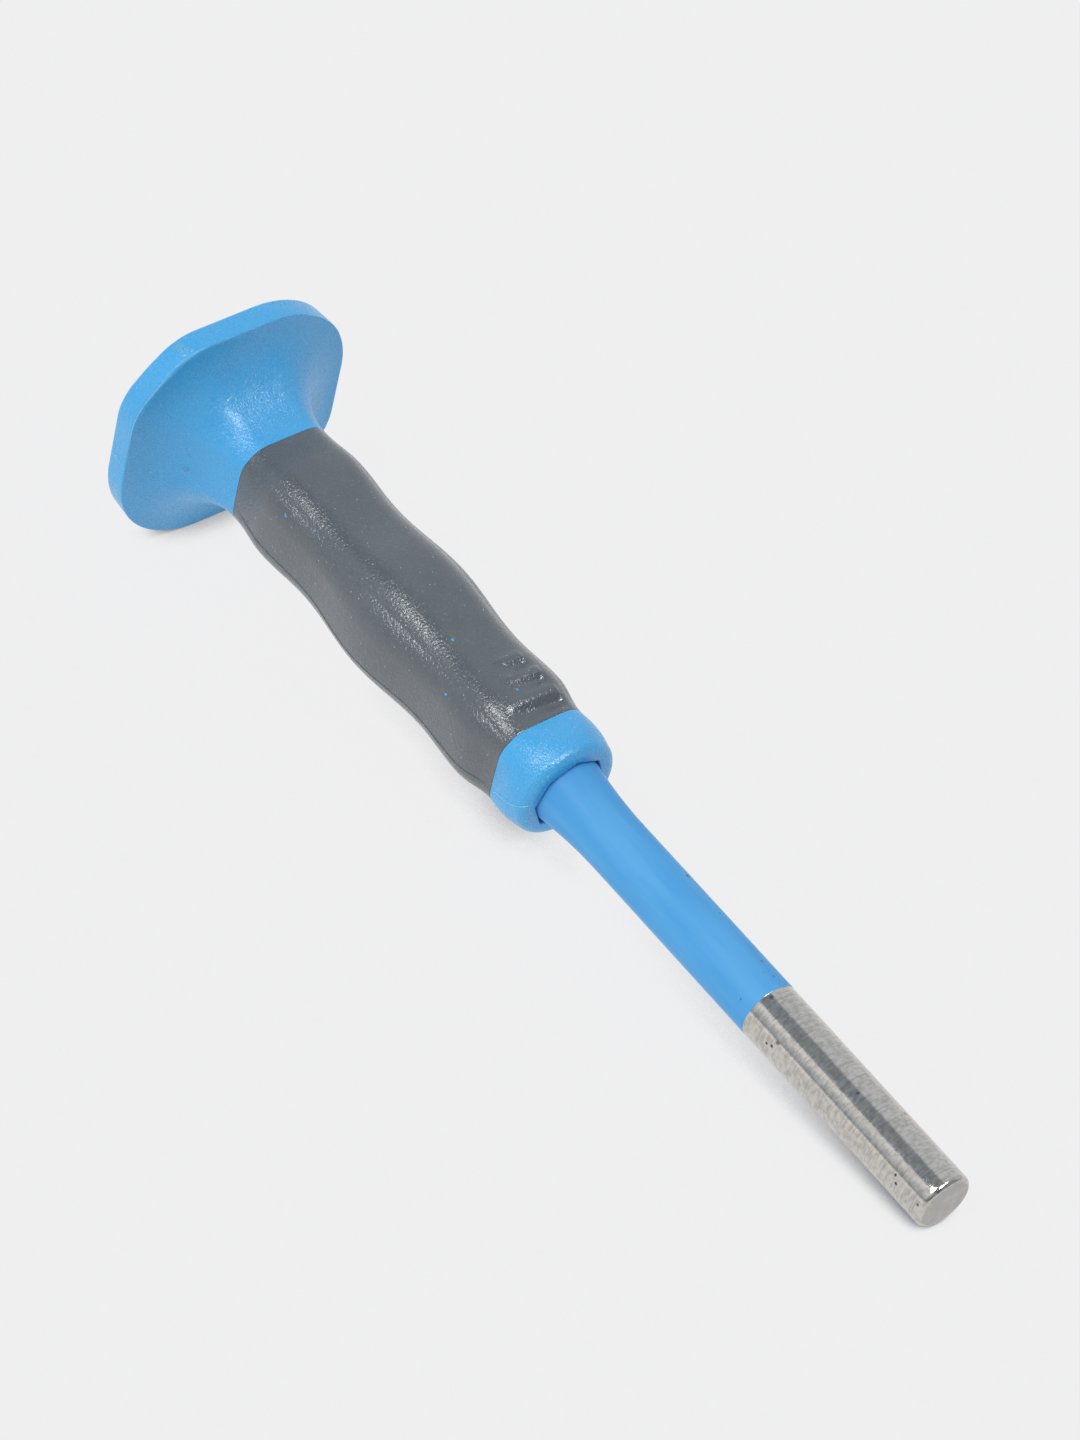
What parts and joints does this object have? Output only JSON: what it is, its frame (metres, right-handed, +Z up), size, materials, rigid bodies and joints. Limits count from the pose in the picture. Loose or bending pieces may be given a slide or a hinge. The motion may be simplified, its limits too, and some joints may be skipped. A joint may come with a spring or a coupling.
{
  "type": "hand punch",
  "caption": "Guarded hand punch: a round steel bar in a soft grip whose flared guard keeps the hammer off the hand.",
  "frame": {"origin": "bottom centre of the box, on the surface that the punch lies on", "axes": "+X towards the working end, +Z up; the tool's own axis lies in the XZ plane and leans down towards its tip"},
  "size_m": [0.3, 0.068, 0.0682],
  "materials": {
    "lacquered_steel": "gloss blue lacquer, bare ground steel at the working end",
    "rigid_polymer": "plain moulded",
    "blue_rubber": "soft, fine leather-like grain",
    "grey_rubber": "soft, coarse spark grain"
  },
  "bodies": {
    "root": {"punch_bar": "lacquered_steel", "core_tube": "rigid_polymer", "hand_guard": "blue_rubber", "grip_sleeve": "grey_rubber", "front_collar": "blue_rubber"}
  },
  "joints": []
}
